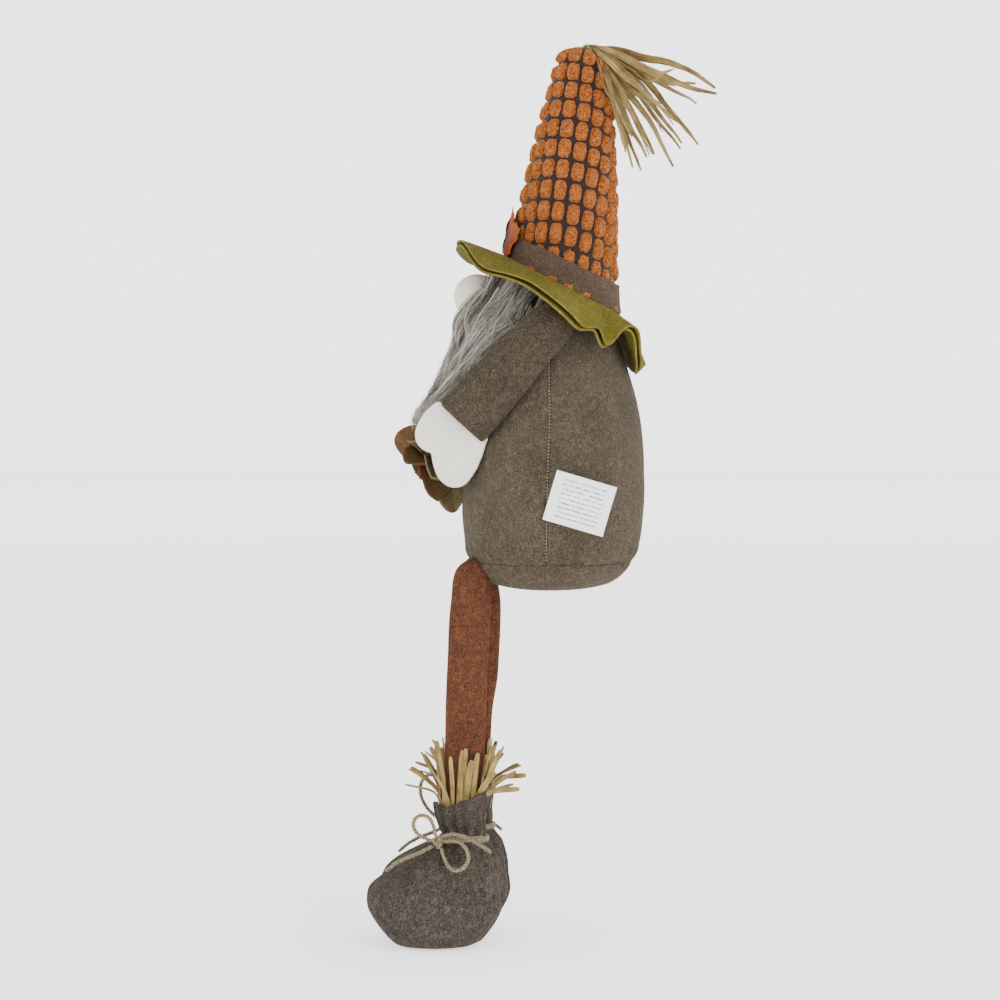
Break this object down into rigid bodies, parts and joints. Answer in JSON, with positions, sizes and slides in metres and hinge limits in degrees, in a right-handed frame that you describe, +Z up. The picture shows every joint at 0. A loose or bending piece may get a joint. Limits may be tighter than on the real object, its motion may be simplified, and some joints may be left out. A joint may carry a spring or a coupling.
{
  "type": "scarecrow figure",
  "caption": "Stuffed felt shelf-sitting gnome scarecrow with a corn-cob cone hat, brim, long beard, arms holding a flower, limp legs and tied sack feet.",
  "frame": {"origin": "middle of the flat underside of the stuffed body, where it sits", "axes": "+Z up, -Y the way the figure faces, +X the figure's left"},
  "size_m": [0.1532, 0.2101, 0.562],
  "materials": {
    "body_felt": "matte",
    "sack_felt": "matte",
    "stuffing": "matte",
    "pellets": "matte",
    "thread": "matte",
    "nose_cloth": "matte",
    "fur": "matte",
    "hat_cloth": "matte",
    "kernel_chenille": "matte",
    "band_felt": "matte",
    "brim_felt": "matte",
    "leaf_silk": "matte",
    "raffia": "matte",
    "hand_felt": "matte",
    "petal_brown": "matte",
    "petal_khaki": "matte",
    "flower_middle": "matte",
    "leg_felt": "matte",
    "twine": "matte",
    "label_cloth": "matte"
  },
  "bodies": {
    "root": {"body_front_panel": "body_felt", "body_back_panel": "body_felt", "base_panel": "body_felt", "pellet_bag": "pellets", "body_stuffing": "stuffing", "side_seam_threads": "thread", "nose_ball": "nose_cloth", "beard_top": "fur", "hat_cone": "hat_cloth", "hat_stuffing": "stuffing", "hat_band": "band_felt", "brim_upper": "brim_felt", "brim_lower": "brim_felt", "hat_kernels": "kernel_chenille", "hat_leaf_large": "leaf_silk", "hat_leaf_small": "leaf_silk", "tassel_tie": "raffia", "tassel_strips": "raffia"},
    "label": {"care_label": "label_cloth"},
    "beard": {"beard_fur": "fur", "beard_backing": "fur"},
    "arms": {"left_sleeve": "body_felt", "left_arm_stuffing": "stuffing", "left_hand": "hand_felt", "right_sleeve": "body_felt", "right_arm_stuffing": "stuffing", "right_hand": "hand_felt", "flower_back_petals": "petal_khaki", "flower_front_petals": "petal_brown", "flower_middle": "flower_middle"},
    "left_thigh": {"left_leg_upper": "leg_felt"},
    "left_shin": {"left_leg_lower": "leg_felt"},
    "left_foot": {"left_leg_ankle": "leg_felt", "left_foot_sack": "sack_felt", "left_foot_stuffing": "stuffing", "left_straw": "raffia", "left_twine_wrap": "twine", "left_twine_knot": "twine", "left_twine_loop_upper": "twine", "left_twine_loop_lower": "twine", "left_twine_tail_front": "twine", "left_twine_tail_back": "twine"},
    "right_thigh": {"right_leg_upper": "leg_felt"},
    "right_shin": {"right_leg_lower": "leg_felt"},
    "right_foot": {"right_leg_ankle": "leg_felt", "right_foot_sack": "sack_felt", "right_foot_stuffing": "stuffing", "right_straw": "raffia", "right_twine_wrap": "twine", "right_twine_knot": "twine", "right_twine_loop_upper": "twine", "right_twine_loop_lower": "twine", "right_twine_tail_front": "twine", "right_twine_tail_back": "twine"}
  },
  "joints": [
    {"name": "arms_lift", "type": "hinge", "parent": "root", "child": "arms", "pos_m": [0, -0.0035, 0.1625], "axis": [-1, 0, 0], "range_deg": [0, 14]},
    {"name": "beard_lift", "type": "hinge", "parent": "root", "child": "beard", "pos_m": [0, -0.044, 0.157], "axis": [-1, 0, 0], "range_deg": [0, 26]},
    {"name": "label_flap", "type": "hinge", "parent": "root", "child": "label", "pos_m": [0.0716, 0.001, 0.058], "axis": [0.0378, -0.1518, -0.9877], "range_deg": [0, 120]},
    {"name": "left_hip", "type": "hinge", "parent": "root", "child": "left_thigh", "pos_m": [0.028, -0.0535, 0.009], "axis": [-1, 0, 0], "range_deg": [-10, 90]},
    {"name": "left_knee", "type": "hinge", "parent": "left_thigh", "child": "left_shin", "pos_m": [0.028, -0.0535, -0.052], "axis": [1, 0, 0], "range_deg": [-30, 80]},
    {"name": "left_ankle", "type": "hinge", "parent": "left_shin", "child": "left_foot", "pos_m": [0.028, -0.0535, -0.112], "axis": [-1, 0, 0], "range_deg": [-25, 25]},
    {"name": "right_hip", "type": "hinge", "parent": "root", "child": "right_thigh", "pos_m": [-0.028, -0.0535, 0.009], "axis": [-1, 0, 0], "range_deg": [-10, 90]},
    {"name": "right_knee", "type": "hinge", "parent": "right_thigh", "child": "right_shin", "pos_m": [-0.028, -0.0535, -0.052], "axis": [1, 0, 0], "range_deg": [-30, 80]},
    {"name": "right_ankle", "type": "hinge", "parent": "right_shin", "child": "right_foot", "pos_m": [-0.028, -0.0535, -0.112], "axis": [-1, 0, 0], "range_deg": [-25, 25]}
  ],
  "couplings": [
    {"joint": "beard_lift", "follows": "arms_lift", "ratio": 1.8}
  ]
}
